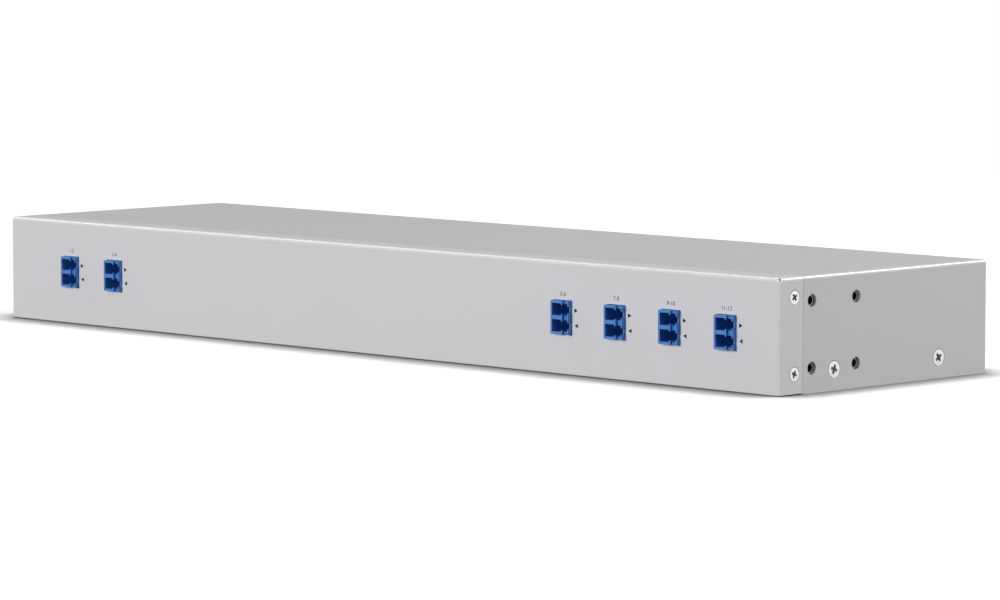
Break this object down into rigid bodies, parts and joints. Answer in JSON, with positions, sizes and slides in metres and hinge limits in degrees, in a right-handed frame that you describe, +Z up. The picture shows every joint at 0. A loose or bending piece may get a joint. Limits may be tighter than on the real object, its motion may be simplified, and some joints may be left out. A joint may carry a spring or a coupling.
{
  "type": "coarse wavelength division multiplexer",
  "caption": "Passive fibre wavelength multiplexer in a flat one-unit sheet-steel box, with upright duplex fibre sockets in its front and ear holes in its sides.",
  "frame": {"origin": "middle of the underside of the sheet-steel box, halfway across and halfway between its front face and its rear wall", "axes": "+Z up, front with the fibre sockets towards -Y, +X to the right seen from the front"},
  "size_m": [0.44, 0.122, 0.0436],
  "materials": {
    "chassis_paint": "light grey powder coat, fine grain, satin",
    "zinc_plated_steel": "bright zinc plate on steel",
    "nickel_plated_steel": "nickel plate on steel, satin",
    "blue_plastic": "moulded, fine satin",
    "ceramic": "ground zirconia",
    "plug_plastic": "moulded, fine satin",
    "boot_rubber": "soft moulded, matt",
    "lead_sheath": "extruded, satin",
    "cassette_plastic": "moulded, fine grain",
    "white_plastic": "moulded, satin",
    "filter_tube": "steel tube, satin",
    "gland_rubber": "moulded, matt",
    "grey_plastic": "moulded, satin"
  },
  "bodies": {
    "root": {"base_tray": "chassis_paint", "top_cover": "chassis_paint", "front_bezel": "chassis_paint", "adapter_bracket": "zinc_plated_steel", "bezel_screws": "nickel_plated_steel", "cover_screws": "nickel_plated_steel", "adapter_clips": "zinc_plated_steel", "sleeve_holders": "blue_plastic", "sleeves": "ceramic", "ferrules": "ceramic", "boots": "boot_rubber", "leads": "lead_sheath", "cassette_base": "cassette_plastic", "cassette_lid": "cassette_plastic", "cassette_screws": "nickel_plated_steel", "standoffs": "zinc_plated_steel", "filter_rack": "white_plastic", "mux_filters": "filter_tube", "demux_filters": "filter_tube", "left_gland": "gland_rubber", "right_gland": "gland_rubber", "left_comb": "grey_plastic", "right_comb": "grey_plastic", "common_front_shell": "blue_plastic", "common_rear_shell": "blue_plastic", "common_plugs": "plug_plastic", "express_front_shell": "blue_plastic", "express_rear_shell": "blue_plastic", "express_plugs": "plug_plastic", "channel_1_front_shell": "blue_plastic", "channel_1_rear_shell": "blue_plastic", "channel_1_plugs": "plug_plastic", "channel_2_front_shell": "blue_plastic", "channel_2_rear_shell": "blue_plastic", "channel_2_plugs": "plug_plastic", "channel_3_front_shell": "blue_plastic", "channel_3_rear_shell": "blue_plastic", "channel_3_plugs": "plug_plastic", "channel_4_front_shell": "blue_plastic", "channel_4_rear_shell": "blue_plastic", "channel_4_plugs": "plug_plastic"}
  },
  "joints": []
}
